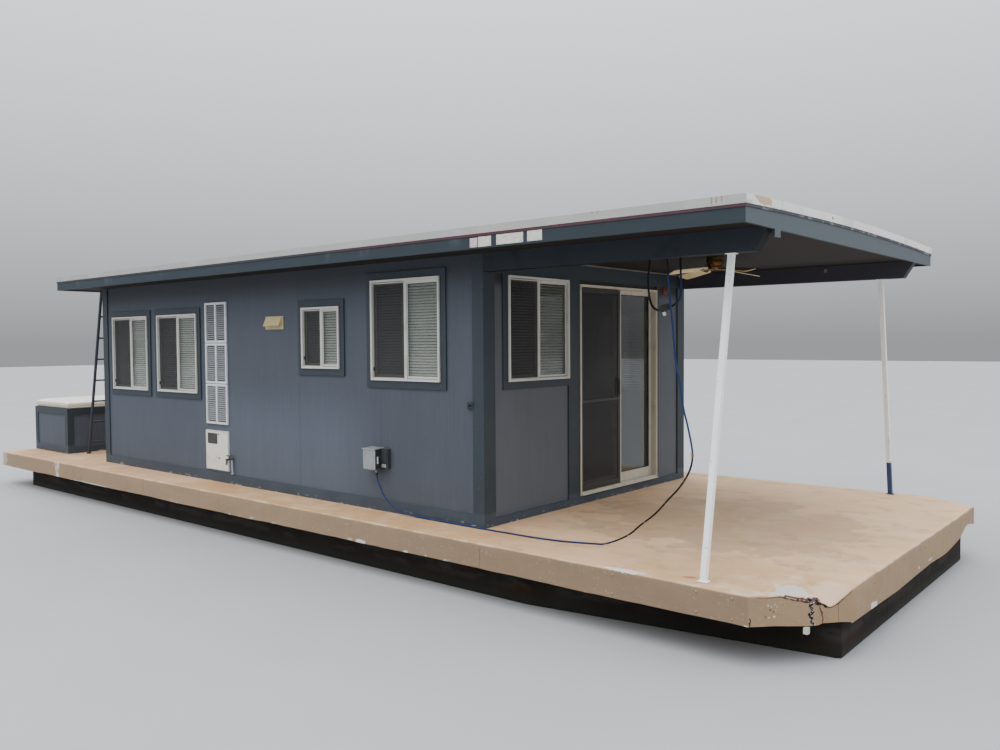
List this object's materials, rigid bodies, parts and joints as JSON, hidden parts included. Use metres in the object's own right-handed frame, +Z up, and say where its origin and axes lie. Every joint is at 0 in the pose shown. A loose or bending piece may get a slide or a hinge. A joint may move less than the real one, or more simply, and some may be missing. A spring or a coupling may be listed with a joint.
{
  "type": "houseboat",
  "caption": "Family houseboat: flat steel hull, wide deck, hollow cabin with sliding windows and doors, covered bow porch on leaning posts, flat roof, stern locker.",
  "frame": {"origin": "under the middle of the deck, on the hull's flat bottom", "axes": "+X to the bow, +Y to port, +Z up"},
  "size_m": [12.1, 4.31, 3.1913],
  "materials": {
    "hull_steel": "dark, rusted bottom paint",
    "deck_paint": "matt non-slip deck paint, worn",
    "skirt_paint": "matt, dented and scuffed",
    "siding": "painted rough-sawn sheet",
    "trim": "painted boards",
    "ceiling": "painted sheet",
    "membrane": "weathered white roof membrane",
    "drip_edge": "oxidised dark red",
    "white_frame": "white powder coat",
    "cream_frame": "cream powder coat",
    "white_paint": "gloss white",
    "pane": "clear",
    "screen_mesh": "black insect screen",
    "door_paint": "semi-gloss cream",
    "vent_white": "white plastic",
    "vent_beige": "yellowed plastic",
    "grey_metal": "galvanised grey",
    "brass": "tarnished",
    "blade": "cream painted blades",
    "cushion": "cream vinyl",
    "dark_metal": "dark paint",
    "cord_blue": "blue cord jacket",
    "cord_black": "black cord jacket"
  },
  "bodies": {
    "boat": {"ceiling_raceway": "dark_metal", "deck_plate": "deck_paint", "fan_motor": "brass", "fascia_bow": "trim", "fascia_port": "trim", "fascia_starboard": "trim", "fascia_stern": "trim", "hose_bib": "brass", "hull": "hull_steel", "louvre_vent_stack": "vent_white", "outlet_cord": "cord_black", "patio_door_frame": "cream_frame", "patio_fixed_glass": "pane", "patio_fixed_sash": "cream_frame", "porch_beam_port": "trim", "porch_beam_starboard": "trim", "porch_post_port": "white_paint", "porch_post_starboard": "white_paint", "power_box": "grey_metal", "power_cord": "cord_blue", "roof_deck": "ceiling", "roof_drip_edge": "drip_edge", "roof_ladder": "dark_metal", "roof_membrane": "membrane", "skirt_bow": "skirt_paint", "skirt_port": "skirt_paint", "skirt_starboard": "skirt_paint", "skirt_stern": "skirt_paint", "stern_locker": "siding", "vent_hood": "vent_beige", "wall_front": "siding", "wall_port": "siding", "wall_rear": "siding", "wall_starboard": "siding", "window_front_frame": "white_frame", "window_front_glass": "pane", "window_port_1_frame": "white_frame", "window_port_1_glass": "pane", "window_port_2_frame": "white_frame", "window_port_2_glass": "pane", "window_port_3_frame": "white_frame", "window_port_3_glass": "pane", "window_rear_frame": "white_frame", "window_rear_glass": "pane", "window_starboard_1_frame": "white_frame", "window_starboard_1_glass": "pane", "window_starboard_2_frame": "white_frame", "window_starboard_2_glass": "pane", "window_starboard_3_frame": "white_frame", "window_starboard_3_glass": "pane", "window_starboard_4_frame": "white_frame", "window_starboard_4_glass": "pane"},
    "patio_sliding_sash": {"patio_sliding_sash": "cream_frame", "patio_sliding_glass": "pane"},
    "patio_screen": {"patio_screen": "screen_mesh"},
    "rear_door": {"rear_door": "door_paint"},
    "access_hatch": {"access_hatch": "door_paint"},
    "locker_lid_starboard": {"locker_lid_starboard": "cushion"},
    "locker_lid_port": {"locker_lid_port": "cushion"},
    "fan_rotor": {"fan_rotor": "blade"}
  },
  "joints": [
    {"name": "patio_sliding_sash_slide", "type": "slide", "parent": "boat", "child": "patio_sliding_sash", "axis": [0, 1, 0], "range_m": [0, 0.656]},
    {"name": "patio_screen_slide", "type": "slide", "parent": "boat", "child": "patio_screen", "axis": [0, 1, 0], "range_m": [0, 0.656]},
    {"name": "rear_door_hinge", "type": "hinge", "parent": "boat", "child": "rear_door", "pos_m": [-3.664, -0.39, 1.7], "axis": [0, 0, 1], "range_deg": [0, 105]},
    {"name": "access_hatch_hinge", "type": "hinge", "parent": "boat", "child": "access_hatch", "pos_m": [-1.1855, -1.7403, 1.05], "axis": [0, 0, -1], "range_deg": [0, 110]},
    {"name": "locker_lid_starboard_hinge", "type": "hinge", "parent": "boat", "child": "locker_lid_starboard", "pos_m": [-6.03, -0.85, 1.3408], "axis": [0, -1, 0], "range_deg": [0, 85]},
    {"name": "locker_lid_port_hinge", "type": "hinge", "parent": "boat", "child": "locker_lid_port", "pos_m": [-6.03, 0.85, 1.3408], "axis": [0, -1, 0], "range_deg": [0, 85]},
    {"name": "fan_spin", "type": "hinge", "parent": "boat", "child": "fan_rotor", "pos_m": [4.324, 0, 2.9], "axis": [0, 0, 1], "continuous": true}
  ]
}
